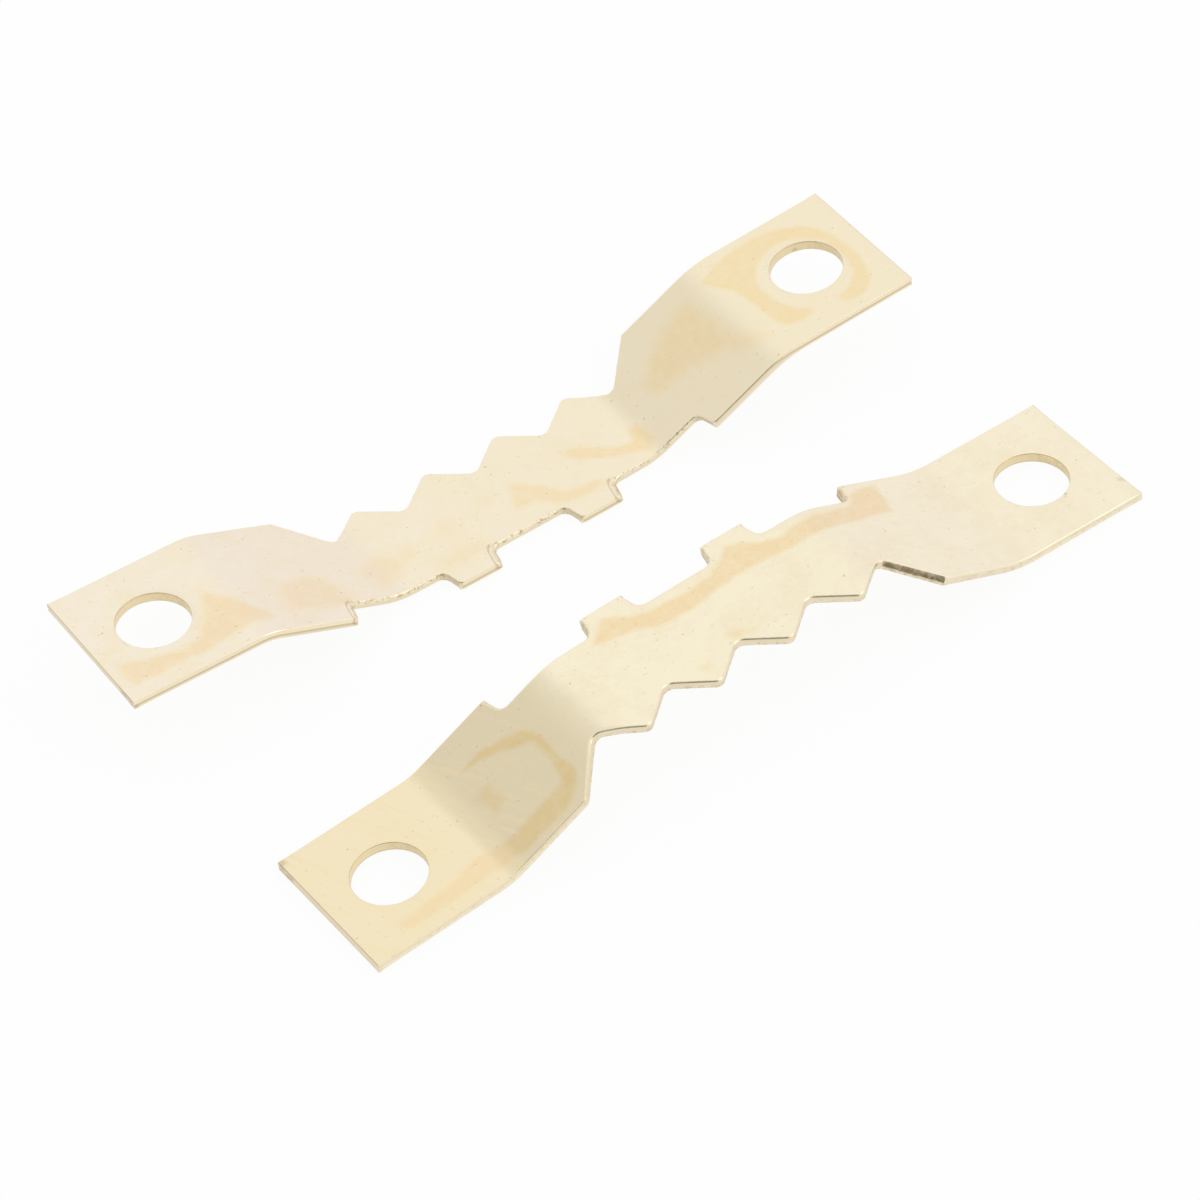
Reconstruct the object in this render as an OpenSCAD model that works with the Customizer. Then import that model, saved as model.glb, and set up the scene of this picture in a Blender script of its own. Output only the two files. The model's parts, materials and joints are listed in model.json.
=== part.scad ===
// Sawtooth picture hanger: a springy sheet strip, blanked with a row of saw teeth
// along one edge and a notched edge opposite, then bent up into a raised saddle
// between two screw tabs. The part is a pair of them as they lie on a table:
// one on its tabs with its face up, one turned over onto its saddle.
// Millimetres. Origin: on the mounting plane, midway between the screw holes of
// the hanger that lies face up. X runs along that strip, -Y is its toothed edge
// and +Z points away from the picture frame that it is screwed to.

/* [Strip] */
// Overall length of a hanger, from end to end
strip_length = 45; // [40:0.5:60]
// Width of the strip
strip_width = 8.2; // [7:0.1:12]
// Thickness of the sheet
sheet = 0.5; // [0.3:0.05:0.8]

/* [Bends] */
// Length of each flat screw tab, from the strip's end to its bend line
tab_length = 7.6; // [6.5:0.1:9]
// Length of each ramp, measured along the mounting plane
ramp_run = 7.4; // [5.5:0.1:9]
// Height of the saddle's underside above the mounting plane
rise = 3.8; // [2.5:0.1:5]
// Inside radius of every bend
bend_radius = 2.5; // [0.5:0.1:3.5]

/* [Screw holes] */
// Diameter of the screw holes
hole_d = 3.7; // [2.5:0.1:4.5]
// Distance from the strip's end to the middle of the hole
hole_from_end = 3.5; // [3:0.1:4.5]

/* [Saw teeth] */
// Number of teeth
tooth_count = 4; // [2:1:6]
// Distance from tooth to tooth
tooth_pitch = 4.15; // [3:0.05:5]
// Depth of the teeth, from the tip lines to the valley lines
tooth_depth = 1.65; // [1:0.05:2.5]
// How far the teeth stay behind the strip's edge
tooth_setback = 0.6; // [0.2:0.05:1.2]
// Radius that rounds the tips
tip_radius = 0.4; // [0.1:0.05:0.6]
// Radius that rounds the valleys, where the nail sits
valley_radius = 0.5; // [0.1:0.05:0.7]
// Length along the strip of the slope from the last valley out to the full width
shoulder_run = 2.15; // [1:0.05:3]

/* [Notched edge] */
// Number of lugs left standing between the notches
lug_count = 2; // [1:1:3]
// Width of a lug at the strip's edge
lug_width = 2.4; // [1.5:0.1:4]
// Distance from lug to lug
lug_pitch = 7.1; // [5:0.1:10]
// Length of the whole notched stretch, from shoulder to shoulder
notch_row = 20.7; // [17:0.1:26]
// Depth of the notches
notch_depth = 1.15; // [0.6:0.05:2]
// Lean of a notch's side walls, as the length that they run along the strip
notch_lean = 0.25; // [0.05:0.05:0.5]
// Radius that rounds the lugs and shoulders
lug_radius = 0.25; // [0.05:0.05:0.4]
// Radius in the inner corners of the notches
notch_radius = 0.4; // [0.05:0.05:0.55]

/* [Pair] */
// Clear distance between the two strips
pair_gap = 8.75; // [2:0.25:30]
// How far the face-down hanger lies along from the face-up one
pair_shift = -0.9; // [-10:0.1:10]
// Angle that the face-down hanger is turned by, in degrees
pair_turn = -2.3; // [-10:0.1:10]

/* [Hidden] */
$fn = 64;
// Length by which a cutting shape reaches past what it cuts
past = 1;

ramp_angle = atan2(rise, ramp_run);
// Lengths that a bend takes from the flats beside it, on its inner and outer face
inner_tangent = bend_radius * tan(ramp_angle / 2);
outer_tangent = (bend_radius + sheet) * tan(ramp_angle / 2);
saddle_flat = strip_length / 2 - tab_length - ramp_run - inner_tangent;
ramp_flat = norm([ramp_run, rise]) - inner_tangent - outer_tangent;
tab_flat = tab_length - outer_tangent;

// Steps that an arc of the outline is drawn in
arc_steps = 8;
edge = strip_width / 2;
half_length = strip_length / 2;
tip_y = -edge + tooth_setback;
valley_y = tip_y + tooth_depth;
floor_y = edge - notch_depth;
half_teeth = tooth_count * tooth_pitch / 2;
half_shoulder = half_teeth + shoulder_run;
lug_middles = [for (i = [0 : lug_count - 1]) (i - (lug_count - 1) / 2) * lug_pitch];
notch_starts = concat([-notch_row / 2], [for (x = lug_middles) x + lug_width / 2]);
notch_ends = concat([for (x = lug_middles) x - lug_width / 2], [notch_row / 2]);

// Corners of the outline, each with the radius that rounds it: valleys and tips by
// turns along the toothed edge, then back along the notched edge
saw_corners = concat(
    [[[-half_shoulder, -edge], 0]],
    [for (i = [0 : 2 * tooth_count]) let (x = -half_teeth + i * tooth_pitch / 2)
        i % 2 == 0 ? [[x, valley_y], valley_radius] : [[x, tip_y], tip_radius]],
    [[[half_shoulder, -edge], 0]]
);
notch_corners = [for (i = [lug_count : -1 : 0]) each [
    [[notch_ends[i], edge], lug_radius],
    [[notch_ends[i] - notch_lean, floor_y], notch_radius],
    [[notch_starts[i] + notch_lean, floor_y], notch_radius],
    [[notch_starts[i], edge], lug_radius]
]];
outline_corners = concat(
    [[[-half_length, -edge], 0]],
    saw_corners,
    [[[half_length, -edge], 0], [[half_length, edge], 0]],
    notch_corners,
    [[[-half_length, edge], 0]]
);

hole_x = half_length - hole_from_end;

function unit(v) = v / norm(v);

function turned(v, angle) = [
    v.x * cos(angle) - v.y * sin(angle),
    v.x * sin(angle) + v.y * cos(angle)
];

// Points of the arc that rounds a corner between its two neighbours
function rounded_corner(before, corner, after, radius) = let (
    back = unit(before - corner),
    ahead = unit(after - corner),
    half_angle = acos(back * ahead) / 2,
    centre = corner + unit(back + ahead) * radius / sin(half_angle),
    first = corner + back * radius / tan(half_angle) - centre,
    sweep = (180 - 2 * half_angle) * sign(cross(ahead, back))
) [for (i = [0 : arc_steps]) centre + turned(first, sweep * i / arc_steps)];

// Outline through a ring of corners, each rounded by its own radius
function rounded_outline(corners) = let (count = len(corners)) [
    for (i = [0 : count - 1]) let (
        before = corners[(i + count - 1) % count][0],
        after = corners[(i + 1) % count][0],
        corner = corners[i][0],
        radius = corners[i][1]
    ) each radius == 0 ? [corner] : rounded_corner(before, corner, after, radius)
];

// A side view, spread across the width of the uncut strip
module across() {
    rotate([90, 0, 0]) linear_extrude(strip_width + 2 * past, center = true) children();
}

// Flat stretch of the strip, with what follows at its far end
module flat_run(run) {
    across() square([run, sheet]);
    translate([run, 0, 0]) children();
}

// Bend of the strip, up for a positive angle and down for a negative one
module bend(angle) {
    pivot = [0, 0, angle > 0 ? sheet + bend_radius : -bend_radius];
    side = angle > 0 ? -1 : 1;
    reach = 2 * (bend_radius + sheet);
    translate(pivot) {
        across() intersection() {
            difference() {
                circle(bend_radius + sheet);
                circle(bend_radius);
            }
            polygon([[0, 0], [0, side * reach], side * reach * [-sin(angle), cos(angle)]]);
        }
        rotate([0, -angle, 0]) translate(-pivot) children();
    }
}

// One half of the bent strip before its outline is cut, from the middle of the saddle outwards
module half_strip() {
    translate([0, 0, rise])
        flat_run(saddle_flat)
            bend(-ramp_angle)
                flat_run(ramp_flat)
                    bend(ramp_angle)
                        flat_run(tab_flat + past);
}

// The whole bent strip, wider and longer than the hanger that is cut from it
module bent_strip() {
    half_strip();
    mirror([1, 0, 0]) half_strip();
}

// One whole hanger, standing on its tabs
module hanger() {
    difference() {
        intersection() {
            bent_strip();
            translate([0, 0, -past])
                linear_extrude(rise + sheet + 2 * past)
                    polygon(rounded_outline(outline_corners));
        }
        for (x = [-hole_x, hole_x])
            translate([x, 0, -past]) cylinder(d = hole_d, h = sheet + 2 * past);
    }
}

module hanger_face_up() {
    color("#e8d5a4") hanger();
}

module hanger_face_down() {
    color("#e2cd9c")
        translate([pair_shift, strip_width + pair_gap, 0])
            rotate(pair_turn)
                translate([0, 0, rise + sheet])
                    rotate([180, 0, 0])
                        hanger();
}

hanger_face_up();
hanger_face_down();
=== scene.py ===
import json
import math

import bmesh
import bpy
from mathutils import Euler, Matrix, Vector


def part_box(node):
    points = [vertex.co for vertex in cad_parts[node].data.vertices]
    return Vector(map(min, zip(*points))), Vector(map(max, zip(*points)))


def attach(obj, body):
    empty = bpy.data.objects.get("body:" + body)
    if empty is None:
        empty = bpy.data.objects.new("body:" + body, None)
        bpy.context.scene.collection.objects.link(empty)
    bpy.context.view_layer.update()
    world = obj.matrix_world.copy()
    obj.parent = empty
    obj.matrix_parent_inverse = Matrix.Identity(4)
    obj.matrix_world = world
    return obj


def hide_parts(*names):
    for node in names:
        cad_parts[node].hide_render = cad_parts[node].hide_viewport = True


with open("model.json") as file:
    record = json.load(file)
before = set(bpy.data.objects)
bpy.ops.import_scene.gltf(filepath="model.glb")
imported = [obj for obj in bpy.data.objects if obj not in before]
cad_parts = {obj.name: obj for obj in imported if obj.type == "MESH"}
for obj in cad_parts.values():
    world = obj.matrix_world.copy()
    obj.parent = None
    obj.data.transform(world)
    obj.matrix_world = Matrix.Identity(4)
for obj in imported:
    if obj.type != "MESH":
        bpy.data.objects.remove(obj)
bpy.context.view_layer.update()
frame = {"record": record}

# The two hangers
# A sawtooth hanger is one strip of thin steel. A press punches its teeth, notches and screw
# holes, bends it up into a saddle between two tabs, and it is tumbled and brass plated.
# It is modelled in millimetres, first as the flat blank along X with its teeth at -Y.
MM = 0.001
mounts = {mount["name"]: mount for mount in frame["record"]["mounts"]}
low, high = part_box("hanger_face_up")
strip_length, strip_width, strip_height = (high - low) / MM
hole_radius = mounts["screw_holes"]["dims"]["hole_r_mm"]
hole_spacing = mounts["screw_holes"]["dims"]["spacing_x_mm"]
sheet = mounts["loose_hanger_left_hole"]["dims"]["length_mm"]

# Half of the bent hanger, in plan and in slope. The pressed strip springs back a little,
# so its saddle is slightly crowned and its tabs droop.
half_saddle = 7.5
ramp_run = 7.4
tab_run = strip_length / 2 - half_saddle - ramp_run
crown = math.radians(1.2)
droop = math.radians(2.6)
ramp_rise = strip_height - sheet - tab_run * math.tan(droop) - half_saddle * math.tan(crown / 2)
ramp_slope = math.atan2(ramp_rise, ramp_run)


def along(x):
    """Where a point of the bent hanger, given in plan, lies along the flat blank."""
    side = math.copysign(1, x)
    saddle = min(abs(x), half_saddle)
    ramp = min(max(abs(x) - half_saddle, 0), ramp_run)
    tab = max(abs(x) - half_saddle - ramp_run, 0)
    return side * (saddle + ramp / math.cos(ramp_slope) + tab / math.cos(droop))


# Corners of the toothed edge and of the notched edge on the blank
half_blank = along(strip_length / 2)
hole_at = along(hole_spacing / 2)
edge = strip_width / 2
tooth_count = 4
tooth_pitch = 4.14
tooth_setback = 0.61
tooth_depth = 1.66
tooth_tip = -edge + tooth_setback
tooth_valley = tooth_tip + tooth_depth
last_valley = along(tooth_count / 2 * tooth_pitch)
shoulder = along(10.44)
tooth_edge = {-shoulder: -edge, shoulder: -edge}
for i in range(2 * tooth_count + 1):
    x = along((i / 2 - tooth_count / 2) * tooth_pitch)
    tooth_edge[x] = tooth_tip if i % 2 else tooth_valley

lug_start = 2.33
lug_end = 4.75
notch_end = 10.37
notch_depth = 1.17
notch_lean = 0.24
notch_floor = edge - notch_depth
notch_edge = {}
for side in (-1, 1):
    for x, lean in ((lug_start, -notch_lean), (lug_end, notch_lean), (notch_end, -notch_lean)):
        notch_edge[along(side * x)] = edge
        notch_edge[along(side * (x + lean))] = notch_floor


def edge_at(corners, outside, x):
    """Height of an edge line through its corners, and outside them."""
    xs = sorted(corners)
    if not xs[0] < x < xs[-1]:
        return outside
    left = max(c for c in xs if c <= x)
    right = min(c for c in xs if c >= x)
    share = (x - left) / (right - left) if right > left else 0
    return corners[left] * (1 - share) + corners[right] * share


def pick(test, kind="verts"):
    """Selects the parts of the mesh in edit mode whose middle passes a test."""
    mesh = bmesh.from_edit_mesh(bpy.context.edit_object.data)
    bpy.ops.mesh.select_all(action="DESELECT")
    for part in getattr(mesh, kind):
        if kind == "verts":
            middle = part.co
        else:
            middle = sum((v.co for v in part.verts), Vector()) / len(part.verts)
        if test(middle, part):
            part.select_set(True)
    mesh.select_flush(True)


def near(a, b):
    """Whether two places on the blank are the same."""
    return abs(a - b) < 0.005


split_snap = 0.001


def bisect_all(place, normal):
    """Splits the whole mesh by a plane."""
    bpy.ops.mesh.select_all(action="SELECT")
    bpy.ops.mesh.bisect(plane_co=place, plane_no=normal, threshold=split_snap)


bpy.ops.object.select_all(action="DESELECT")
bpy.ops.mesh.primitive_plane_add(size=1)
blank = bpy.context.object
bpy.ops.object.mode_set(mode="EDIT")
bpy.ops.mesh.select_mode(type="VERT")
bpy.ops.transform.resize(value=(2 * half_blank, strip_width, 1))
bpy.ops.transform.translate(value=(0, 0, -sheet / 2))

# The strip is split at every corner, and its edges are pushed in to the teeth and notches
corner_xs = sorted(set(tooth_edge) | set(notch_edge))
for x in corner_xs:
    bisect_all((x, 0, 0), (1, 0, 0))
for x in corner_xs:
    pick(lambda co, v: near(co.x, x) and co.y < 0)
    bpy.ops.transform.translate(value=(0, edge_at(tooth_edge, -edge, x) + edge, 0))
    pick(lambda co, v: near(co.x, x) and co.y > 0)
    bpy.ops.transform.translate(value=(0, edge_at(notch_edge, edge, x) - edge, 0))
bpy.ops.mesh.select_all(action="SELECT")
bpy.ops.mesh.dissolve_limited(angle_limit=math.radians(1))

# The punch has rounded corners: how far each kind is rounded off along its sides. The four
# corners of the strip itself stay square.
corner_steps = 5
for length, test in (
    (0.32, lambda co, v: near(co.y, tooth_tip)),
    (0.40, lambda co, v: near(co.y, tooth_valley)),
    (0.36, lambda co, v: near(co.y, notch_floor)),
    (0.24, lambda co, v: near(co.y, edge) and abs(co.x) < half_blank - 1),
):
    pick(test)
    bpy.ops.mesh.bevel(
        offset_type="ABSOLUTE", offset=length, segments=corner_steps,
        affect="VERTICES", clamp_overlap=False
    )

bpy.ops.mesh.select_all(action="SELECT")
bpy.ops.mesh.extrude_region_move(TRANSFORM_OT_translate={"value": (0, 0, sheet)})
bpy.ops.mesh.select_all(action="SELECT")
bpy.ops.mesh.normals_make_consistent(inside=False)

# A square is cut free round each screw hole, so that the hole joins none of the rims
hole_margin = 0.6
square = hole_radius + hole_margin
for tab in (-1, 1):
    for side in (-1, 1):
        bisect_all((tab * hole_at + side * square, 0, 0), (1, 0, 0))
for side in (-1, 1):
    bisect_all((0, side * square, 0), (0, 1, 0))
bpy.ops.object.mode_set(mode="OBJECT")

# A screw hole in the middle of each tab
hole_sides = 64
for side in (-1, 1):
    bpy.ops.mesh.primitive_cylinder_add(
        vertices=hole_sides, radius=hole_radius, depth=4 * sheet, location=(side * hole_at, 0, 0)
    )
    punch = bpy.context.object
    bpy.ops.object.select_all(action="DESELECT")
    bpy.context.view_layer.objects.active = blank
    hole = blank.modifiers.new("hole", "BOOLEAN")
    hole.operation = "DIFFERENCE"
    hole.solver = "EXACT"
    hole.object = punch
    bpy.ops.object.modifier_apply(modifier="hole")
    bpy.data.objects.remove(punch)

# Punching rolls the edges over on the face and leaves a small burr on the back. The screw
# holes, the sheared ends and the slit sides are sharper than the rest.
roll_over = 0.17
burr = 0.09
rim_steps = 5
hole_rim = 0.03
hole_rim_steps = 3
sharp_share = 0.3
margin = 0.01


def rim(height, hole):
    """Selects the edges where the flat at a height meets a cut wall, at the holes or elsewhere."""
    def on_rim(middle, e):
        round_hole = abs(abs(middle.x) - hole_at) < square and abs(middle.y) < square
        flat_to_wall = any(abs(f.normal.z) < 0.7 for f in e.link_faces)
        return all(near(v.co.z, height) for v in e.verts) and flat_to_wall and round_hole == hole
    pick(on_rim, "edges")


bpy.ops.object.mode_set(mode="EDIT")
bpy.ops.mesh.select_mode(type="EDGE")
for height, rounding in ((sheet / 2, roll_over), (-sheet / 2, burr)):
    rim(height, False)
    bpy.ops.mesh.bevel(offset=rounding, segments=rim_steps, affect="EDGES", clamp_overlap=False)
    rim(height, True)
    bpy.ops.mesh.bevel(offset=hole_rim, segments=hole_rim_steps, affect="EDGES", clamp_overlap=False)
bpy.ops.mesh.select_mode(type="VERT")
for axis, far, height, rounding, share in (
    (0, half_blank, sheet / 2, roll_over, (sharp_share, 1, sharp_share)),
    (1, edge, sheet / 2, roll_over, (1, sharp_share, sharp_share)),
    (0, half_blank, -sheet / 2, burr, (sharp_share, 1, sharp_share)),
):
    for side in (-1, 1):
        pick(lambda co, v: co[axis] * side > far - rounding - margin
             and abs(co.z - height) < rounding + margin)
        middle = [0, 0, height]
        middle[axis] = side * far
        bpy.ops.transform.resize(value=share, center_override=middle)

# The ends are sheared, not punched, and lean in towards the face
end_lean = 0.04
end_depth = 0.06
for side in (-1, 1):
    pick(lambda co, v: co.x * side > half_blank - end_depth and co.z > 0)
    bpy.ops.transform.translate(value=(-side * end_lean, 0, 0))

# The punch wore on the last slope of the saw: the upper half of that wall leans back, square
# to the slope, and its rolled rim is half as high. Splits past it and below it keep the rest.
slope_lean = 0.10
slope_way = (0.68, 0.73)
slope_rim_share = 0.5
slope_past = 0.6
slope_foot = -0.05
bisect_all((shoulder + slope_past, 0, 0), (1, 0, 0))
bisect_all((0, 0, slope_foot), (0, 0, 1))
pick(lambda co, v: co.z > sheet / 2 - roll_over - margin and co.y < tooth_valley + 0.05
     and last_valley + 0.1 < co.x < shoulder + 0.3)
bpy.ops.transform.resize(value=(1, 1, slope_rim_share), center_override=(0, 0, sheet / 2))
bpy.ops.transform.translate(value=(slope_lean * slope_way[0], slope_lean * slope_way[1], 0))

# An even ring inside every rim, then loops across and along the strip and round its walls
ring_width = 0.1
loop_spacing = 0.3
wall_loops = (0.04, -0.02, -0.14, -0.19)
bpy.ops.mesh.select_mode(type="FACE")
pick(lambda co, f: abs(f.normal.z) > 0.9999, "faces")
bpy.ops.mesh.inset(thickness=ring_width)
bpy.ops.mesh.select_mode(type="VERT")
for i in range(int(2 * half_blank / loop_spacing)):
    bisect_all((-half_blank + (i + 0.5) * loop_spacing, 0, 0), (1, 0, 0))
for i in range(int(strip_width / loop_spacing)):
    bisect_all((0, -edge + (i + 0.5) * loop_spacing, 0), (0, 1, 0))
for z in wall_loops:
    bisect_all((0, 0, z), (0, 0, 1))

# The die was blunt at the notch walls that face +X: there the back is drawn over into a lip.
# The lip reaches a little past the ends of its wall and fades out there.
lip_reach = 0.44
lip_top = 0.05
lip_past = 0.1
lip_overhang = 0.2
lip_floor_fade = 0.3
lip_edge_fade = 0.25
lip_walls = [along(x) for x in (-notch_end, -lug_start, lug_end)]
lip_facing = Vector((edge - notch_floor, notch_lean)).normalized()


def lip_depth(co):
    """How far over the lip of the nearest such wall a point lies: 0 where it begins, 1 at the wall."""
    if co.z > lip_top or not notch_floor - lip_past < co.y < edge + lip_past:
        return 0
    inward = [-lip_facing.dot(Vector((co.x - x, co.y - edge))) for x in lip_walls]
    inward = min(inward, key=abs)
    from_floor = (co.y - notch_floor + lip_past) / lip_floor_fade
    from_edge = (edge + lip_past - co.y) / lip_edge_fade
    ends = min(from_floor, from_edge, 1)
    return min(max(1 - inward / lip_reach, 0), 1) * ends if inward > -lip_overhang else 0


lip_splits = 5
lip_zone = 0.9
for x in lip_walls:
    for i in range(lip_splits + 1):
        bpy.ops.mesh.select_mode(type="FACE")
        pick(
            lambda co, f: f.normal.z < -0.9 and abs(co.x - x) < lip_zone and co.y > notch_floor - 0.5,
            "faces"
        )
        bpy.ops.mesh.bisect(
            plane_co=(x - i * lip_reach / lip_splits / lip_facing.x, edge, 0),
            plane_no=(*lip_facing, 0), threshold=split_snap
        )
bpy.ops.mesh.select_mode(type="VERT")
lip_steps = 10
first_draw = 0.99
more_draw = 0.009
for i in range(lip_steps):
    pick(lambda co, v: lip_depth(co) > (i + 0.5) / lip_steps)
    bpy.ops.transform.resize(value=(1, 1, first_draw - more_draw * i), center_override=(0, 0, lip_top))

# Punched walls tear off towards the back, which leaves them grainy there. The points are put
# in a fixed order first, by their distance from a place off to one side, so that every run
# draws the same grain.
grain_height = 0.006
torn_low = -0.235
torn_high = -0.01
order_from = (-40, -13, 7)
pick(lambda co, f: abs(f.normal.z) < 0.4 and co.z < 0.05, "faces")
bpy.ops.mesh.subdivide(number_cuts=1)
pick(lambda co, v: torn_low < co.z < torn_high and abs(co.y) < edge - 0.03 and abs(co.x) < shoulder + 1)
bpy.context.scene.cursor.location = order_from
bpy.ops.mesh.sort_elements(type="CURSOR_DISTANCE", elements={"VERT"})
bpy.context.scene.cursor.location = (0, 0, 0)
bpy.ops.transform.vertex_random(offset=grain_height, normal=1, seed=4)
bpy.ops.object.mode_set(mode="OBJECT")

# Where each point lay on the flat blank is kept, for the bends and for the finish. So is its
# wear and painted shade: above zero on the lips, which are rubbed clean, and below zero where the
# finish is darkened: painted shade on the notch and hole walls that face -X, a painted dark
# reflection on the slope that the punch wore, and real dirt in a few spots. The back
# rims of the notch floors are frayed.
dirt_spots = [Vector(s) for s in ((-23.1, 3.95), (20.25, -1.75), (23.1, -2.85))]
dirt_radius = 0.16
dirt_wear = -1
notch_painted_shade = 1.5
hole_painted_shade = 0.7
slope_scuff_and_shade_high = -1.2
slope_scuff_and_shade_low = -2
shade_band_low = -0.04
shade_band_high = sheet / 2 - 0.02
flat = blank.data.attributes.new("blank", "FLOAT_VECTOR", "POINT")
for spot, vertex in zip(flat.data, blank.data.vertices):
    spot.vector = vertex.co
wear = blank.data.attributes.new("wear", "FLOAT", "POINT")
for spot, vertex in zip(wear.data, blank.data.vertices):
    co = vertex.co
    facing = vertex.normal
    spot.value = lip_depth(co)
    # Notch walls that face -X are given painted shade, the stronger the more they face -X
    in_notch = notch_floor - 0.05 < co.y < edge - 0.1 and abs(co.z) < sheet / 2
    if in_notch and facing.x < 0:
        spot.value = max(facing.x * notch_painted_shade, -1)
    # On the slope wall, from the face down to the middle, a dark band is painted, darker further from
    # the face: a painted dark reflection
    at_slope = co.y < tooth_valley - 0.1 and last_valley + 0.15 < co.x < shoulder - 0.1
    if at_slope and shade_band_low < co.z < shade_band_high and abs(facing.z) < 0.8:
        below_face = (shade_band_high - co.z) / (shade_band_high - shade_band_low)
        spot.value = slope_scuff_and_shade_high + (slope_scuff_and_shade_low - slope_scuff_and_shade_high) * below_face
    # Hole walls that face -X are given painted shade, the stronger the more they face -X
    by_hole = abs(abs(co.x) - hole_at) < square and abs(co.y) < square
    if by_hole and abs(facing.z) < 0.5:
        spot.value = min(facing.x, 0) * hole_painted_shade
    if co.z > 0 and min((co.xy - s).length for s in dirt_spots) < dirt_radius:
        spot.value = dirt_wear
frayed = blank.data.attributes.new("frayed", "FLOAT", "POINT")
for spot, vertex in zip(frayed.data, blank.data.vertices):
    at_floor = abs(vertex.co.y - notch_floor) < 0.3 and abs(vertex.co.x) < max(notch_edge) - 0.2
    spot.value = at_floor and vertex.co.z < -0.19 and vertex.normal.z > -0.99

# The plating bath dried on the strip and left tan marks. Each one is drawn on the flat blank,
# seen from the face or from the back, as its strength, how crisp its rim is and its outline.
# Every point of the mesh keeps how far inside the nearest mark it lies, and its strength.
face_marks = (
    (1.0, 1.0, (
        (-5.6, 2.2), (-4.7, 2.8), (-3.9, 3.4), (-3.4, 3.2), (-2.7, 2.6), (-1.6, 2.3), (0.0, 2.2),
        (1.6, 2.3), (2.5, 2.8), (3.3, 3.35), (4.0, 3.2), (4.6, 2.5), (5.6, 2.1), (7.0, 2.4),
        (8.6, 2.4), (10.0, 2.5), (10.9, 3.3), (11.4, 3.65), (12.8, 3.7), (12.4, 2.4), (12.0, 1.5),
        (10.0, 1.3), (8.2, 1.2), (6.8, 1.1), (5.0, 1.2), (3.4, 1.4), (1.4, 1.3), (-0.4, 1.05),
        (-2.0, 1.15), (-3.0, 1.7), (-4.2, 1.95))),
    (0.9, 0.8, (
        (-21.4, -2.6), (-19.0, -2.5), (-17.4, -2.3), (-16.2, -1.9), (-15.2, -2.2), (-14.2, -2.5),
        (-12.4, -2.5), (-11.0, -2.5), (-10.4, -3.2), (-11.2, -3.6), (-13.8, -3.7), (-16.0, -3.4),
        (-18.6, -3.5), (-21.2, -3.4))),
    (1.0, 0.9, (
        (-11.2, -3.1), (-10.7, -2.2), (-10.5, -1.2), (-10.35, -0.3), (-10.45, 0.3), (-11.0, 0.7),
        (-11.9, 1.3), (-13.0, 1.9), (-13.9, 2.1), (-12.6, 2.2), (-11.4, 1.7), (-10.4, 1.3),
        (-10.0, 0.3), (-10.1, -1.2), (-10.0, -2.4), (-10.4, -3.1))),
    (0.8, 0.5, ((-14.2, 0.4), (-13.4, 0.6), (-13.2, -0.7), (-14.0, -1.0))),
    (0.7, 0.9, (
        (-0.12, -1.1), (0.49, -1.4), (1.23, -1.9), (1.1, -2.05), (-0.05, -1.75), (-0.48, -1.33))),
    (0.6, 0.9, ((-2.6, -2.0), (-2.2, -2.0), (-1.8, -2.3), (-1.85, -2.5), (-2.3, -2.4))),
    (0.5, 0.5, ((-18.3, -0.2), (-17.6, 0.2), (-17.2, -0.5), (-18.0, -0.7))),
)
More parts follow.
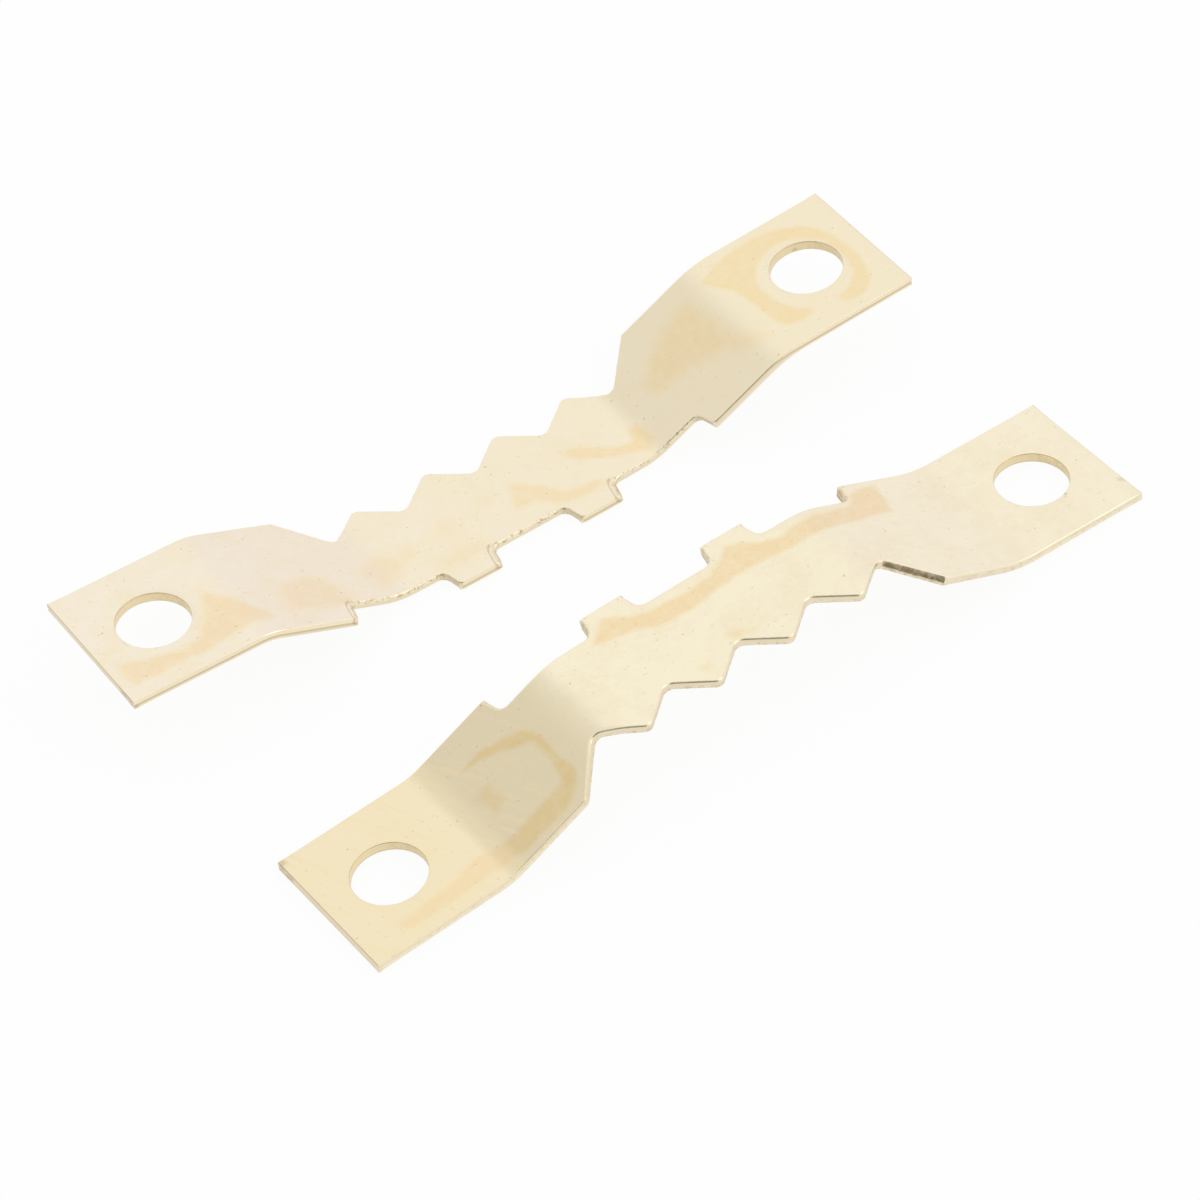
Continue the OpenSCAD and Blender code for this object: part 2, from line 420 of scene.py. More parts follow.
back_marks = (
    (1.0, 0.7, (
        (-22.7, 3.2), (-18.5, 3.25), (-14.9, 3.0), (-15.4, 1.9), (-16.2, 0.6), (-16.9, -0.4),
        (-17.3, 0.3), (-17.7, 1.3), (-18.4, 2.1), (-19.5, 2.45), (-20.5, 2.25), (-21.5, 1.9),
        (-22.6, 1.5))),
    (0.75, 0.4, (
        (-13.9, 2.95), (-10.3, 2.95), (-9.9, 2.2), (-10.6, 0.6), (-12.0, 0.4), (-13.0, 0.6),
        (-13.8, 1.8))),
    (0.55, 0.35, (
        (-8.3, 2.2), (-7.2, 2.2), (-6.0, 1.2), (-5.0, 0.5), (-6.5, 0.1), (-7.8, 0.0), (-8.8, 0.8))),
    (0.5, 0.4, ((-5.2, 2.3), (-4.6, 3.2), (-2.8, 3.2), (-1.9, 2.4), (-3.2, 1.8))),
    (0.8, 0.8, (
        (0.0, 1.7), (1.2, 1.7), (2.2, 2.9), (4.9, 3.0), (4.2, 2.3), (2.8, 2.2), (2.2, 1.2),
        (1.0, -0.2), (0.5, 0.3))),
    (0.35, 0.4, ((-3.9, 0.6), (-3.2, 0.9), (-2.6, 0.1), (-3.3, -0.4))),
    (0.35, 0.4, ((-1.4, 0.4), (-0.7, 0.6), (-0.4, -0.2), (-1.2, -0.4))),
    (1.0, 0.9, (
        (3.9, -0.4), (4.2, 0.4), (5.5, 1.5), (7.0, 2.2), (7.6, 2.6), (8.2, 2.2), (8.0, 0.6),
        (7.6, 0.4), (7.2, 1.4), (6.2, 1.1), (5.0, 0.0), (4.4, -0.3))),
    (0.85, 0.35, (
        (13.4, 1.4), (14.4, 2.2), (15.6, 2.4), (15.0, 1.8), (14.5, 0.5), (14.4, -1.5), (14.3, -2.8),
        (12.5, -2.6), (11.0, -1.8), (9.6, -0.6), (9.8, 0.3), (11.5, 0.7))),
    (1.0, 1.3, (
        (18.25, 2.8), (17.45, 2.95), (16.75, 2.7), (16.4, 2.2), (16.35, 1.5), (16.3, 0.55),
        (16.2, -0.5), (16.1, -1.15), (15.6, -2.1), (15.2, -2.85), (16.5, -3.3), (17.95, -3.6),
        (19.25, -3.55), (20.3, -3.3), (21.25, -2.75), (21.85, -2.0), (22.15, -1.15), (22.25, -0.15),
        (22.25, 1.1), (22.0, 2.2), (21.75, 2.8), (21.1, 3.3), (20.35, 3.5), (19.6, 3.15), (19.7, 2.7),
        (20.7, 2.4), (21.3, 1.8), (21.6, 0.95), (21.7, -0.05), (21.55, -1.0), (20.95, -1.75),
        (20.15, -2.25), (19.35, -2.35), (18.6, -2.1), (17.9, -1.75), (17.45, -1.0), (17.2, -0.35),
        (17.25, 0.8), (17.65, 1.85), (18.35, 2.45))),
)


def inside(outline, x, y):
    """How far a point lies inside an outline, in mm, and less than zero outside it."""
    spot = Vector((x, y))
    gap = math.inf
    within = False
    for start, end in zip(outline, outline[1:] + outline[:1]):
        start = Vector(start)
        side = Vector(end) - start
        share = min(max((spot - start).dot(side) / side.length_squared, 0), 1)
        gap = min(gap, (start + side * share - spot).length)
        if (start.y > y) != (end[1] > y) and x < start.x + side.x * (y - start.y) / side.y:
            within = not within
    return gap if within else -gap


far_outside = -2
deepest = []
for vertex in blank.data.vertices:
    x, y, z = vertex.co
    marks = face_marks if z > 0 else back_marks
    deepest.append(max((inside(outline, x, y) * crisp, strong) for strong, crisp, outline in marks))
stain = blank.data.attributes.new("stain", "FLOAT", "POINT")
for spot, (gap, strong) in zip(stain.data, deepest):
    spot.value = max(gap, far_outside)
strength = blank.data.attributes.new("strength", "FLOAT", "POINT")
for spot, (gap, strong) in zip(strength.data, deepest):
    spot.value = strong

# The punch left a raised burr round the back of each screw hole
burr_width = 0.12
burr_height = 0.05
burr_steps = 6
bpy.ops.object.mode_set(mode="EDIT")
for side in (-1, 1):
    hole_middle = Vector((side * hole_at, 0))
    for i in range(burr_steps):
        burr_radius = hole_radius + hole_rim + burr_width * (1 - (i + 0.5) / burr_steps)
        pick(lambda co, v: co.z < hole_rim - sheet / 2 and (co.xy - hole_middle).length < burr_radius)
        bpy.ops.transform.translate(value=(0, 0, -burr_height / burr_steps))
bpy.ops.object.mode_set(mode="OBJECT")

# Each bend is pressed a little at a time, from the ends inwards: all that lies beyond a
# line across the strip is turned about that line. The bend at the left tab is the tighter one.
saddle_reach = 0.85
left_tab_reach = 0.6
right_tab_reach = 1.1
bend_steps = 8
bpy.ops.object.mode_set(mode="EDIT")
for side, tab_reach in ((-1, left_tab_reach), (1, right_tab_reach)):
    turns = []
    for i in range(bend_steps):
        share = (2 * i + 1) / bend_steps - 1
        tab_line = along(half_saddle + ramp_run) + share * tab_reach
        turns.append((along(half_saddle) + share * saddle_reach, (ramp_slope - crown) / bend_steps))
        turns.append((tab_line, (droop - ramp_slope) / bend_steps))
        turns.append((half_saddle * (i + 0.5) / bend_steps, crown / bend_steps))
    for place, angle in sorted(turns, reverse=True):
        mesh = bmesh.from_edit_mesh(blank.data)
        was = mesh.verts.layers.float_vector["blank"]
        pick(lambda co, v: v[was].x * side > place)
        bpy.ops.transform.rotate(
            value=-side * angle, orient_axis="Y", center_override=(side * place, 0, 0)
        )
bpy.ops.object.mode_set(mode="OBJECT")

# The finished hanger stands on its tabs, at its real length and height and in metres
crease_angle = math.radians(40)
bpy.ops.object.select_all(action="DESELECT")
blank.select_set(True)
bpy.context.view_layer.objects.active = blank
reach = [max(abs(v.co[i]) for v in blank.data.vertices) for i in (0, 1)]
heights = [v.co.z for v in blank.data.vertices]
blank.scale = (
    MM * strip_length / 2 / reach[0],
    MM * strip_width / 2 / reach[1],
    MM * strip_height / (max(heights) - min(heights)),
)
blank.location.z = -min(heights) * blank.scale.z
bpy.ops.object.transform_apply(location=True, rotation=True, scale=True)
bpy.ops.object.shade_smooth_by_angle(angle=crease_angle)
weighted = blank.modifiers.new("weighted", "WEIGHTED_NORMAL")
weighted.keep_sharp = True
bpy.ops.object.modifier_apply(modifier="weighted")
hanger_up = blank
hanger_up.name = "sawtooth_hanger_face_up"

# The second hanger lies on its saddle, turned over and a little askew
bpy.ops.object.duplicate()
hanger_down = bpy.context.object
hanger_down.name = "sawtooth_hanger_face_down"
left_hole = Vector(mounts["loose_hanger_left_hole"]["pos_m"])
right_hole = Vector(mounts["loose_hanger_right_hole"]["pos_m"])
across = right_hole - left_hole
hanger_down.rotation_euler = Euler((math.pi, 0, math.atan2(across.y, across.x)))
hanger_down.location = (left_hole + right_hole) / 2
hanger_down.location.z = strip_height * MM
bpy.ops.object.transform_apply(location=True, rotation=True, scale=True)

# Brass plated steel
# Thin bright plating on tumbled steel: a pale straw mirror, softened by fine rub marks, with
# tan drying marks from the bath and dull grainy walls where the punch tore the sheet.


def tone(code):
    """An sRGB hex colour as linear RGBA."""
    parts = [int(code[i:i + 2], 16) / 255 for i in (1, 3, 5)]
    return [c / 12.92 if c <= 0.04045 else ((c + 0.055) / 1.055) ** 2.4 for c in parts] + [1]


def node(tree, kind, links=None, **settings):
    """A node with its settings, its inputs set to a value or linked to a socket."""
    made = tree.nodes.new(kind)
    for name, value in settings.items():
        setattr(made, name, value)
    for key, value in (links or {}).items():
        if isinstance(value, bpy.types.NodeSocket):
            tree.links.new(value, made.inputs[key])
        else:
            made.inputs[key].default_value = value
    return made


brass = bpy.data.materials.new("brass_plated_steel")
brass.use_nodes = True
tree = brass.node_tree
shader = tree.nodes["Principled BSDF"]
shader.inputs["Metallic"].default_value = 1

# Where a spot lies on the flat blank, in millimetres: all patterns are scaled by it
spot = node(tree, "ShaderNodeAttribute", attribute_name="blank").outputs["Vector"]
place = node(tree, "ShaderNodeSeparateXYZ", {0: spot})
along_strip = place.outputs["X"]
across_strip = place.outputs["Y"]
depth = place.outputs["Z"]

# The plating varies in tone, over a few millimetres and again over half a millimetre. It is
# yellower on the face than on the back, and both are more golden towards one end.
cloud_size = 2.9
mottle_size = 0.55
cloud = node(
    tree, "ShaderNodeTexNoise",
    {"Vector": spot, "Scale": 1 / cloud_size, "Detail": 3, "Roughness": 0.5}
)
mottle = node(
    tree, "ShaderNodeTexNoise",
    {"Vector": spot, "Scale": 1 / mottle_size, "Detail": 4, "Roughness": 0.7}
)
patchy = node(
    tree, "ShaderNodeMath", {0: cloud.outputs["Fac"], 1: mottle.outputs["Fac"]}, operation="MULTIPLY"
)
patchy = node(
    tree, "ShaderNodeMapRange",
    {"Value": patchy.outputs[0], "From Min": 0.1, "From Max": 0.4, "To Min": 0, "To Max": 1}
)
on_face = node(tree, "ShaderNodeMath", {0: depth, 1: 0}, operation="GREATER_THAN")
to_right = node(
    tree, "ShaderNodeMapRange",
    {"Value": along_strip, "From Min": -20, "From Max": 20, "To Min": 0, "To Max": 1}
)
back = node(
    tree, "ShaderNodeMix",
    {"Factor": to_right.outputs[0], "A": tone("#f6ecda"), "B": tone("#f5e9cb")}, data_type="RGBA"
)
back = node(
    tree, "ShaderNodeMix",
    {"Factor": patchy.outputs[0], "A": back.outputs["Result"], "B": tone("#f4e7c9")}, data_type="RGBA"
)
face = node(
    tree, "ShaderNodeMix",
    {"Factor": patchy.outputs[0], "A": tone("#f9f0d4"), "B": tone("#f4e8c9")}, data_type="RGBA"
)
toward_end = node(
    tree, "ShaderNodeMapRange",
    {"Value": along_strip, "From Min": -6, "From Max": -15, "To Min": 0, "To Max": on_face.outputs[0]},
    interpolation_type="SMOOTHSTEP"
)
face = node(
    tree, "ShaderNodeMix",
    {"Factor": toward_end.outputs[0], "A": face.outputs["Result"], "B": tone("#f4e5c2")},
    data_type="RGBA"
)
plate = node(
    tree, "ShaderNodeMix",
    {"Factor": on_face.outputs[0], "A": back.outputs["Result"], "B": face.outputs["Result"]},
    data_type="RGBA"
)

# The face of the ramp at that end is painted greyer, fading out near its bends: painted shade
ramp_shade_start = node(
    tree, "ShaderNodeMapRange",
    {
        "Value": along_strip, "From Min": -15.1, "From Max": -14.3,
        "To Min": 0, "To Max": on_face.outputs[0],
    },
    interpolation_type="SMOOTHSTEP"
)
ramp_shade = node(
    tree, "ShaderNodeMapRange",
    {
        "Value": along_strip, "From Min": -7.6, "From Max": -9.6,
        "To Min": 0, "To Max": ramp_shade_start.outputs[0],
    },
    interpolation_type="SMOOTHSTEP"
)
plate = node(
    tree, "ShaderNodeMix",
    {"Factor": ramp_shade.outputs[0], "A": plate.outputs["Result"], "B": tone("#eaddbd")}, data_type="RGBA"
)

# Rub marks from the tumbling: faint slanting streaks, three millimetres long. Real ones are
# finer than their width of 0.3 mm, which is what it takes for them to show.
streak_length = 3
streak_width = 0.3
streak_angle = math.radians(-68)
slant = node(
    tree, "ShaderNodeMapping",
    {"Vector": spot, "Rotation": (0, 0, streak_angle), "Scale": (streak_length, streak_width, 1)},
    vector_type="TEXTURE"
)
rub = node(
    tree, "ShaderNodeTexNoise",
    {"Vector": slant.outputs[0], "Scale": 1, "Detail": 4, "Roughness": 0.6}
)
streak = node(
    tree, "ShaderNodeMapRange",
    {
        "Value": rub.outputs["Fac"], "From Min": 0.5, "From Max": 0.75,
        "To Min": 0, "To Max": toward_end.outputs[0],
    }
)
plate = node(
    tree, "ShaderNodeMix",
    {"Factor": streak.outputs[0], "A": plate.outputs["Result"], "B": tone("#f2e2ba")}, data_type="RGBA"
)

# Drying marks: tan inside and yellow along their wandering outlines, crisp in some places
# and faded in others
wander_size = 0.9
wander_reach = 0.25
wander = node(
    tree, "ShaderNodeTexNoise",
    {"Vector": spot, "Scale": 1 / wander_size, "Detail": 2, "Roughness": 0.45}
)
drawn = node(tree, "ShaderNodeAttribute", attribute_name="stain").outputs["Fac"]
drift = node(
    tree, "ShaderNodeMath",
    {0: wander.outputs["Fac"], 1: wander_reach, 2: drawn}, operation="MULTIPLY_ADD"
)
mark = node(
    tree, "ShaderNodeMapRange",
    {"Value": drift.outputs[0], "From Min": -0.05, "From Max": 0.3, "To Min": 0, "To Max": 1},
    interpolation_type="SMOOTHSTEP"
)
fade = node(
    tree, "ShaderNodeMapRange",
    {"Value": mottle.outputs["Fac"], "From Min": 0.35, "From Max": 0.65, "To Min": 0.7, "To Max": 1.1}
)
dried = node(tree, "ShaderNodeMath", {0: mark.outputs[0], 1: fade.outputs[0]}, operation="MULTIPLY")
strong = node(tree, "ShaderNodeAttribute", attribute_name="strength").outputs["Fac"]
dried = node(tree, "ShaderNodeMath", {0: dried.outputs[0], 1: strong}, operation="MULTIPLY")
tan_mark = node(
    tree, "ShaderNodeMix",
    {"Factor": to_right.outputs[0], "A": tone("#f4deb9"), "B": tone("#f4dfb2")}, data_type="RGBA"
)
tan_mark = node(
    tree, "ShaderNodeMix",
    {"Factor": on_face.outputs[0], "A": tan_mark.outputs["Result"], "B": tone("#f3dcb1")},
    data_type="RGBA"
)
fringe = node(
    tree, "ShaderNodeMapRange",
    {"Value": drift.outputs[0], "From Min": 0.36, "From Max": 0.12, "To Min": 0, "To Max": 0.85},
    interpolation_type="SMOOTHSTEP"
)
tan_mark = node(
    tree, "ShaderNodeMix",
    {"Factor": fringe.outputs[0], "A": tan_mark.outputs["Result"], "B": tone("#f4e3b9")},
    data_type="RGBA"
)
# Marks on that ramp are painted darker as well: painted shade
tan_mark = node(
    tree, "ShaderNodeMix",
    {"Factor": ramp_shade.outputs[0], "A": tan_mark.outputs["Result"], "B": tone("#e7d09e")},
    data_type="RGBA"
)
plate = node(
    tree, "ShaderNodeMix",
    {"Factor": dried.outputs[0], "A": plate.outputs["Result"], "B": tan_mark.outputs["Result"]},
    data_type="RGBA"
)

# Tiny dark pits. Most real ones are finer, and these are drawn a fifth of a millimetre across,
# so that they show.
pit_size = 0.22
speck = node(
    tree, "ShaderNodeTexNoise", {"Vector": spot, "Scale": 1 / pit_size, "Detail": 2, "Roughness": 0.5}
)
pit = node(
    tree, "ShaderNodeMapRange",
    {"Value": speck.outputs["Fac"], "From Min": 0.68, "From Max": 0.80, "To Min": 0, "To Max": 0.5}
)
plate = node(
    tree, "ShaderNodeMix",
    {"Factor": pit.outputs[0], "A": plate.outputs["Result"], "B": tone("#a98f60")}, data_type="RGBA"
)

# The cut walls, told apart from the flats by their depth in the sheet. In the screw holes they
# are golden, with a browner line painted along both rims: painted shade at the rims.
holes_begin = 16
holes_full = 17
wall = node(
    tree, "ShaderNodeMapRange",
    {"Value": depth, "From Min": -0.225, "From Max": -0.185, "To Min": 0, "To Max": 1},
    interpolation_type="SMOOTHSTEP"
)
cut = node(
    tree, "ShaderNodeMapRange",
    {"Value": depth, "From Min": 0.2, "From Max": 0.08, "To Min": 0, "To Max": wall.outputs[0]},
    interpolation_type="SMOOTHSTEP"
)
from_middle = node(tree, "ShaderNodeMath", {0: along_strip}, operation="ABSOLUTE")
from_hole = node(tree, "ShaderNodeMath", {0: from_middle.outputs[0], 1: hole_at}, operation="SUBTRACT")
from_hole = node(tree, "ShaderNodeCombineXYZ", {"X": from_hole.outputs[0], "Y": across_strip})
from_hole = node(tree, "ShaderNodeVectorMath", {0: from_hole.outputs[0]}, operation="LENGTH")
in_hole = node(
    tree, "ShaderNodeMath",
    {0: from_hole.outputs["Value"], 1: hole_radius + hole_rim / 2}, operation="LESS_THAN"
)
cut = node(tree, "ShaderNodeMath", {0: cut.outputs[0], 1: in_hole.outputs[0]}, operation="MAXIMUM")
at_hole = node(
    tree, "ShaderNodeMapRange",
    {
        "Value": from_middle.outputs[0], "From Min": holes_begin, "From Max": holes_full,
        "To Min": 0, "To Max": 1,
    }
)
off_middle = node(tree, "ShaderNodeMath", {0: depth}, operation="ABSOLUTE")
# The browner line along both rims of the hole walls is painted shade
hole_rim_shade = node(
    tree, "ShaderNodeMapRange",
    {"Value": off_middle.outputs[0], "From Min": 0.18, "From Max": 0.24, "To Min": 0, "To Max": 0.5}
)
hole_wall = node(
    tree, "ShaderNodeMix",
    {"Factor": hole_rim_shade.outputs[0], "A": tone("#ecdab0"), "B": tone("#bb9e6c")}, data_type="RGBA"
)
walls = node(
    tree, "ShaderNodeMix",
    {"Factor": at_hole.outputs[0], "A": tone("#ecddbf"), "B": hole_wall.outputs["Result"]},
    data_type="RGBA"
)

# The sides are slit from a wider strip: a bright band at the back, a brown line and a paler
# band. The line lies half way up at both tabs and on the lugs, where it is wider, and nearer
# the back between them.
lugs_within = 6
sides_beyond = 7
slit_depth = 0.03
line_low = -0.19
aside = node(tree, "ShaderNodeMath", {0: across_strip}, operation="ABSOLUTE")
slit = node(
    tree, "ShaderNodeMath", {0: aside.outputs[0], 1: edge - slit_depth}, operation="GREATER_THAN"
)
line_at = node(
    tree, "ShaderNodeMapRange",
    {
        "Value": from_middle.outputs[0], "From Min": lugs_within, "From Max": sides_beyond,
        "To Min": 0.08, "To Max": line_low,
    }
)
for ramp_start, ramp_end in ((-7, -9), (14.5, 16.5)):
    on_tab = node(
        tree, "ShaderNodeMapRange",
        {
            "Value": along_strip, "From Min": ramp_start, "From Max": ramp_end,
            "To Min": line_low, "To Max": 0.05,
        }
    )
    line_at = node(
        tree, "ShaderNodeMath", {0: line_at.outputs[0], 1: on_tab.outputs[0]}, operation="MAXIMUM"
    )
from_line = node(tree, "ShaderNodeMath", {0: depth, 1: line_at.outputs[0]}, operation="SUBTRACT")
past_line = node(
    tree, "ShaderNodeMapRange",
    {"Value": from_line.outputs[0], "From Min": -0.05, "From Max": 0.05, "To Min": 0, "To Max": 1}
)
bands = node(
    tree, "ShaderNodeMix",
    {"Factor": past_line.outputs[0], "A": tone("#f5e8ca"), "B": tone("#ecdfc6")}, data_type="RGBA"
)
line_strength = node(
    tree, "ShaderNodeMapRange",
    {"Value": across_strip, "From Min": -0.5, "From Max": 0.5, "To Min": 0.12, "To Max": 0.6}
)
line_width = node(
    tree, "ShaderNodeMapRange",
    {
        "Value": from_middle.outputs[0], "From Min": lugs_within, "From Max": sides_beyond,
        "To Min": 0.17, "To Max": 0.09,
    }
)
off_line = node(tree, "ShaderNodeMath", {0: from_line.outputs[0]}, operation="ABSOLUTE")
line = node(
    tree, "ShaderNodeMapRange",
    {
        "Value": off_line.outputs[0], "From Min": line_width.outputs[0], "From Max": 0.03,
        "To Min": 0, "To Max": line_strength.outputs[0],
    }
)
bands = node(
    tree, "ShaderNodeMix",
    {"Factor": line.outputs[0], "A": bands.outputs["Result"], "B": tone("#c3a878")}, data_type="RGBA"
)
walls = node(
    tree, "ShaderNodeMix",
    {"Factor": slit.outputs[0], "A": walls.outputs["Result"], "B": bands.outputs["Result"]},
    data_type="RGBA"
)
plate = node(
    tree, "ShaderNodeMix",
    {"Factor": cut.outputs[0], "A": plate.outputs["Result"], "B": walls.outputs["Result"]},
    data_type="RGBA"
)

# The sheared ends are duller, with a brown line painted along both rims: painted shade at the rims
sheared_depth = 0.03
end_x = node(
    tree, "ShaderNodeMath",
    {0: depth, 1: end_lean / sheet, 2: from_middle.outputs[0]}, operation="MULTIPLY_ADD"
)
sheared = node(
    tree, "ShaderNodeMath",
    {0: end_x.outputs[0], 1: half_blank - end_lean / 2 - sheared_depth}, operation="GREATER_THAN"
)
end_rim_shade = node(
    tree, "ShaderNodeMapRange",
    {"Value": off_middle.outputs[0], "From Min": 0.15, "From Max": 0.22, "To Min": 0, "To Max": 0.5}
)
ends = node(
    tree, "ShaderNodeMix",
    {"Factor": end_rim_shade.outputs[0], "A": tone("#e4d6b8"), "B": tone("#c2ab7c")}, data_type="RGBA"
)
plate = node(
    tree, "ShaderNodeMix",
    {"Factor": sheared.outputs[0], "A": plate.outputs["Result"], "B": ends.outputs["Result"]},
    data_type="RGBA"
)

# Torn grain in the lower half of the punched walls. It is half as strong at the teeth, weak in
# the holes and on the slit side by the teeth, and gone on the other slit side and on the lips.
# Real grain is finer, and it is drawn 0.22 mm wide, so that it shows.
grit_size = 0.22
rim_grain = node(
    tree, "ShaderNodeMapRange",
    {"Value": depth, "From Min": -0.249, "From Max": -0.235, "To Min": 0, "To Max": 1},
    interpolation_type="SMOOTHSTEP"
)
torn = node(
    tree, "ShaderNodeMapRange",
    {"Value": depth, "From Min": 0.0, "From Max": -0.1, "To Min": 0, "To Max": rim_grain.outputs[0]},
    interpolation_type="SMOOTHSTEP"
)
hole_grain = node(
    tree, "ShaderNodeMapRange",
    {
        "Value": from_middle.outputs[0], "From Min": holes_begin, "From Max": holes_full,
        "To Min": 1, "To Max": 0.15,
    }
)
torn = node(tree, "ShaderNodeMath", {0: torn.outputs[0], 1: hole_grain.outputs[0]}, operation="MULTIPLY")
tooth_grain = node(
    tree, "ShaderNodeMapRange",
    {"Value": across_strip, "From Min": 0.5, "From Max": -0.5, "To Min": 1, "To Max": 0.5}
)
torn = node(
    tree, "ShaderNodeMath", {0: torn.outputs[0], 1: tooth_grain.outputs[0]}, operation="MULTIPLY"
)
slit_grain = node(
    tree, "ShaderNodeMapRange",
    {"Value": across_strip, "From Min": 0.5, "From Max": -0.5, "To Min": 0, "To Max": 0.25}
)
torn = node(
    tree, "ShaderNodeMix",
    {"Factor": slit.outputs[0], "A": torn.outputs[0], "B": slit_grain.outputs[0]}, data_type="FLOAT"
)
torn = node(tree, "ShaderNodeMath", {0: torn.outputs["Result"], 1: cut.outputs[0]}, operation="MULTIPLY")
fray = node(tree, "ShaderNodeAttribute", attribute_name="frayed").outputs["Fac"]
torn = node(tree, "ShaderNodeMath", {0: torn.outputs[0], 1: fray}, operation="MAXIMUM")
wear_and_shade_level = node(tree, "ShaderNodeAttribute", attribute_name="wear").outputs["Fac"]
torn = node(
    tree, "ShaderNodeMapRange",
    {"Value": wear_and_shade_level, "From Min": 0, "From Max": 0.7, "To Min": torn.outputs[0], "To Max": 0}
)
grit = node(
    tree, "ShaderNodeTexNoise", {"Vector": spot, "Scale": 1 / grit_size, "Detail": 3, "Roughness": 0.65}
)
grain = node(
    tree, "ShaderNodeMapRange",
    {"Value": grit.outputs["Fac"], "From Min": 0.36, "From Max": 0.5, "To Min": 0, "To Max": 1}
)
dull = node(
    tree, "ShaderNodeMix",
    {"Factor": grain.outputs[0], "A": tone("#cfb584"), "B": tone("#f8edd2")}, data_type="RGBA"
)
plate = node(
    tree, "ShaderNodeMix",
    {"Factor": torn.outputs[0], "A": plate.outputs["Result"], "B": dull.outputs["Result"]},
    data_type="RGBA"
)

# Dark brown, broken up in scores: a painted dark reflection, thickest on the slope that the punch wore;
# painted shade, thinner, on the notch and hole walls that face -X; and real dirt in the spots
shade_and_dirt_breakup = node(
    tree, "ShaderNodeMapRange",
    {"Value": grit.outputs["Fac"], "From Min": 0.35, "From Max": 0.6, "To Min": 0.15, "To Max": 0.8}
)
dirt_and_painted_shade = node(
    tree, "ShaderNodeMapRange",
    {"Value": wear_and_shade_level, "From Min": 0, "From Max": slope_scuff_and_shade_low, "To Min": 0, "To Max": shade_and_dirt_breakup.outputs[0]}
)
plate = node(
    tree, "ShaderNodeMix",
    {"Factor": dirt_and_painted_shade.outputs[0], "A": plate.outputs["Result"], "B": tone("#8a6d3c")}, data_type="RGBA"
)

# A brown line painted where each lip begins: painted shade at the foot of the lip
lip_crease_shade = node(
    tree, "ShaderNodeMapRange",
    {"Value": wear_and_shade_level, "From Min": 0.02, "From Max": 0.12, "To Min": 0, "To Max": 0.5}
)
lip_crease_shade = node(
    tree, "ShaderNodeMapRange",
    {"Value": wear_and_shade_level, "From Min": 0.24, "From Max": 0.14, "To Min": 0, "To Max": lip_crease_shade.outputs[0]}
)
plate = node(
    tree, "ShaderNodeMix",
    {"Factor": lip_crease_shade.outputs[0], "A": plate.outputs["Result"], "B": tone("#b0926a")}, data_type="RGBA"
)
tree.links.new(plate.outputs["Result"], shader.inputs["Base Color"])

# Gloss: bright plate, hazier where it is rubbed, dull on the rolled rims and the torn walls,
# and scuffed on the worn slope, most of all near the face
torn_haze = 0.14
slope_limit = -1.1
haze = node(
    tree, "ShaderNodeMapRange",
    {"Value": rub.outputs["Fac"], "From Min": 0.3, "From Max": 0.7, "To Min": 0.12, "To Max": 0.2}
)
rounded = node(
    tree, "ShaderNodeMapRange",
    {"Value": depth, "From Min": 0.249, "From Max": 0.22, "To Min": 0, "To Max": 0.17}
)
rounded = node(tree, "ShaderNodeMath", {0: rounded.outputs[0], 1: wall.outputs[0]}, operation="MULTIPLY")
haze = node(tree, "ShaderNodeMath", {0: haze.outputs[0], 1: rounded.outputs[0]}, operation="ADD")
haze = node(
    tree, "ShaderNodeMath",
    {0: torn.outputs[0], 1: torn_haze, 2: haze.outputs[0]}, operation="MULTIPLY_ADD"
)
on_slope = node(tree, "ShaderNodeMath", {0: wear_and_shade_level, 1: slope_limit}, operation="LESS_THAN")
scuff = node(
    tree, "ShaderNodeMapRange",
    {
        "Value": wear_and_shade_level, "From Min": slope_scuff_and_shade_low, "From Max": slope_scuff_and_shade_high,
        "To Min": 0.04, "To Max": 0.22,
    }
)
haze = node(
    tree, "ShaderNodeMath",
    {0: on_slope.outputs[0], 1: scuff.outputs[0], 2: haze.outputs[0]}, operation="MULTIPLY_ADD"
)
tree.links.new(haze.outputs[0], shader.inputs["Roughness"])

# The unevenness that tumbling leaves, a few thousandths of a millimetre high. It is drawn as
# waves of 0.4 mm with finer ones on them, coarser than it is, so that it shows.
relief_size = 0.4
relief_height = 2.5e-6
relief = node(
    tree, "ShaderNodeTexNoise", {"Vector": spot, "Scale": 1 / relief_size, "Detail": 5, "Roughness": 0.6}
)
bump = node(
    tree, "ShaderNodeBump",
    {"Strength": 1, "Distance": relief_height, "Height": relief.outputs["Fac"]}
)
tree.links.new(bump.outputs[0], shader.inputs["Normal"])

for piece, body, cad in (
    (hanger_up, "face_up", "hanger_face_up"),
    (hanger_down, "face_down", "hanger_face_down"),
):
    piece.data.materials.clear()
    piece.data.materials.append(brass)
    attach(piece, body)
    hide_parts(cad)

# Table
# A large smooth sheet of white paper that both hangers lie on. It shows white, and keeps
# the soft shadow under them.
table_size = 2
glow_share = 0.93
bpy.ops.object.select_all(action="DESELECT")
bpy.ops.mesh.primitive_plane_add(size=table_size)
table = bpy.context.object
table.name = "table"
paper = bpy.data.materials.new("matt_white_paper")
paper.use_nodes = True
tree = paper.node_tree
shader = tree.nodes["Principled BSDF"]
shader.inputs["Base Color"].default_value = tone("#fcfcfc")
shader.inputs["Roughness"].default_value = 1
shader.inputs["Specular IOR Level"].default_value = 0
path = node(tree, "ShaderNodeLightPath").outputs
seen = node(
    tree, "ShaderNodeMath",
    {0: path["Is Glossy Ray"], 1: path["Is Transmission Ray"]}, operation="MAXIMUM"
)
seen = node(tree, "ShaderNodeMath", {0: seen.outputs[0], 1: path["Is Camera Ray"]}, operation="MAXIMUM")
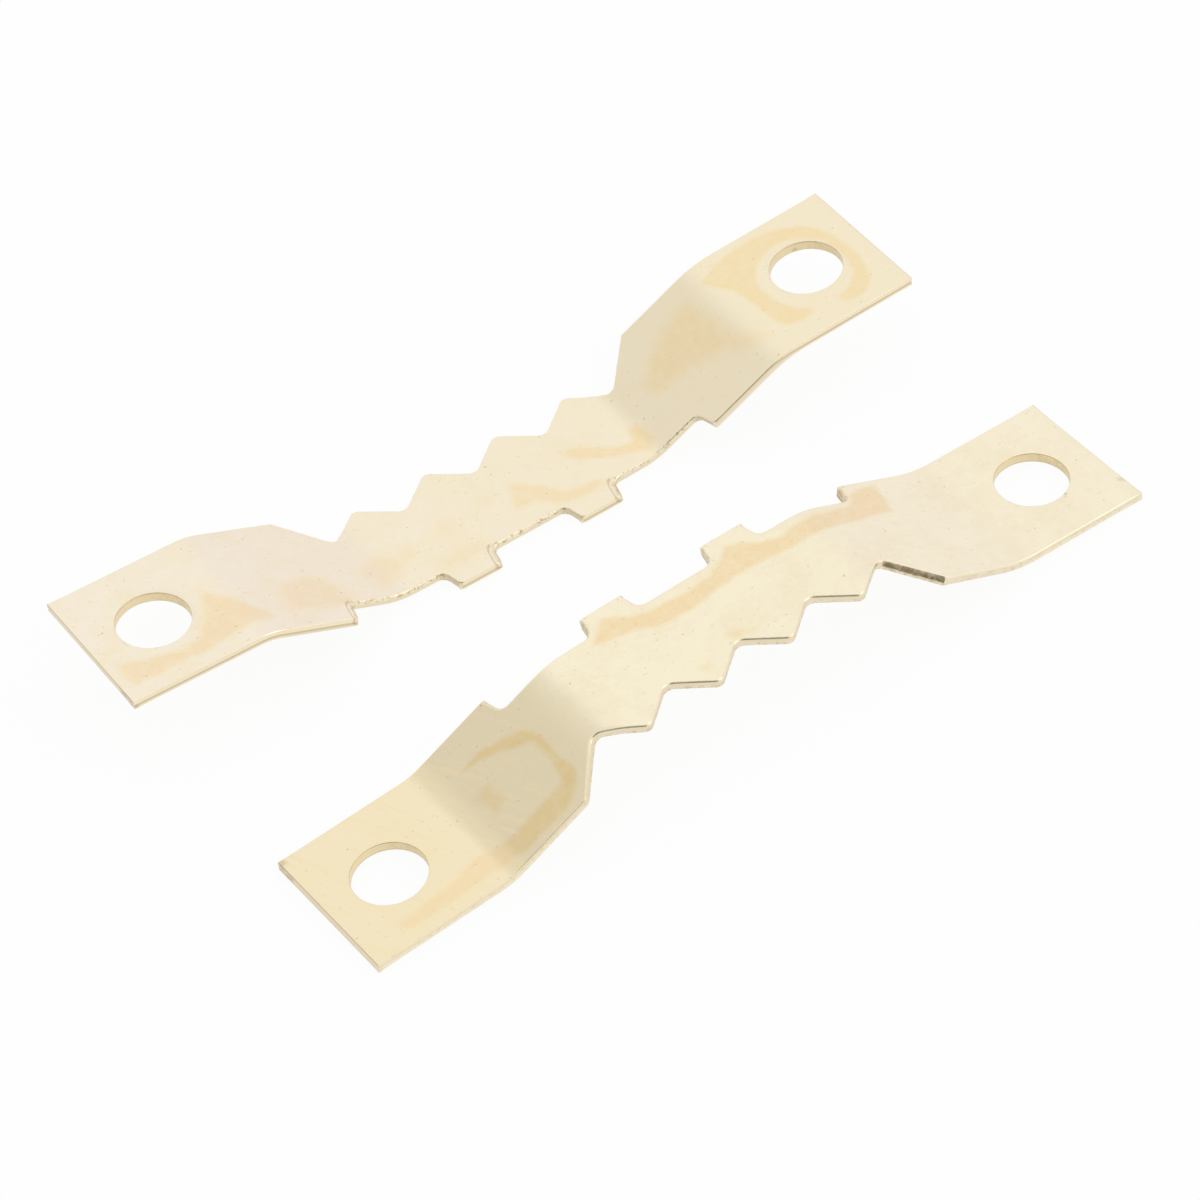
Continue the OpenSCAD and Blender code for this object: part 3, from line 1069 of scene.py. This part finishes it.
seen = node(tree, "ShaderNodeMath", {0: seen.outputs[0], 1: glow_share}, operation="MULTIPLY")
glow = node(tree, "ShaderNodeEmission", {"Color": (1, 1, 1, 1), "Strength": 1})
white = node(
    tree, "ShaderNodeMixShader", {0: seen.outputs[0], 1: shader.outputs[0], 2: glow.outputs[0]}
)
tree.links.new(white.outputs[0], tree.nodes["Material Output"].inputs["Surface"])
table.data.materials.append(paper)

# Studio light
# A white tent all round. It dims towards the back left, is cooler low at the back right, and a
# dark opening at the front left, where the camera looks in, draws thin dark lines on the edges.
studio = bpy.data.worlds.new("white_tent")
bpy.context.scene.world = studio
studio.use_nodes = True
tree = studio.node_tree
tent = tree.nodes["Background"]
way = node(tree, "ShaderNodeTexCoord").outputs["Generated"]
light = (1, 1, 1, 1)
for toward, edge_angle, full_angle, shade in (
    ((-0.58, -0.74, 0.34), 38, 24, (0.2, 0.19, 0.17, 1)),
    ((-0.75, 0.45, 0.48), 54, 30, (0.86, 0.85, 0.835, 1)),
    ((0.86, 0.50, 0.05), 55, 15, (0.965, 0.95, 1.0, 1)),
):
    aim = node(
        tree, "ShaderNodeVectorMath", {0: way, 1: Vector(toward).normalized()}, operation="DOT_PRODUCT"
    )
    share = node(
        tree, "ShaderNodeMapRange",
        {
            "Value": aim.outputs["Value"],
            "From Min": math.cos(math.radians(edge_angle)),
            "From Max": math.cos(math.radians(full_angle)),
            "To Min": 0, "To Max": 1,
        },
        interpolation_type="SMOOTHSTEP"
    )
    light = node(
        tree, "ShaderNodeMix", {"Factor": share.outputs[0], "A": light, "B": shade},
        data_type="RGBA", blend_type="MULTIPLY"
    ).outputs["Result"]
tree.links.new(light, tent.inputs["Color"])
tent.inputs["Strength"].default_value = 1

# A softbox at the front right puts the bright spots on the tips of the teeth
box_size = 0.2
box_level = 1.3
box_distance = 0.55
box_way = Vector((0.56, -0.62, 0.55)).normalized()
bpy.ops.object.light_add(type="AREA", location=box_way * box_distance)
softbox = bpy.context.object
softbox.name = "softbox"
softbox.rotation_euler = box_way.to_track_quat("Z", "Y").to_euler()
softbox.data.size = box_size
softbox.data.energy = box_level * math.pi * box_size ** 2
bpy.context.scene.view_settings.view_transform = "Standard"

# Camera
# A long lens that looks down at the pair from the front left, rolled a little. Its place and
# its turn come from the fit to the corners of both hangers.
camera_data = bpy.data.cameras.new("camera")
camera_data.sensor_width = 36
camera_data.lens = 156.33
camera_data.clip_start = 0.01
camera = bpy.data.objects.new("camera", camera_data)
bpy.context.scene.collection.objects.link(camera)
eye = Vector((-89.265, -142.827, 178.894)) * MM
right = Vector((0.80225, -0.58837, -0.10110))
up = Vector((0.48188, 0.53825, 0.69143))
turn = Matrix((right, up, right.cross(up))).transposed()
camera.matrix_world = Matrix.Translation(eye) @ turn.to_4x4()
bpy.context.scene.camera = camera
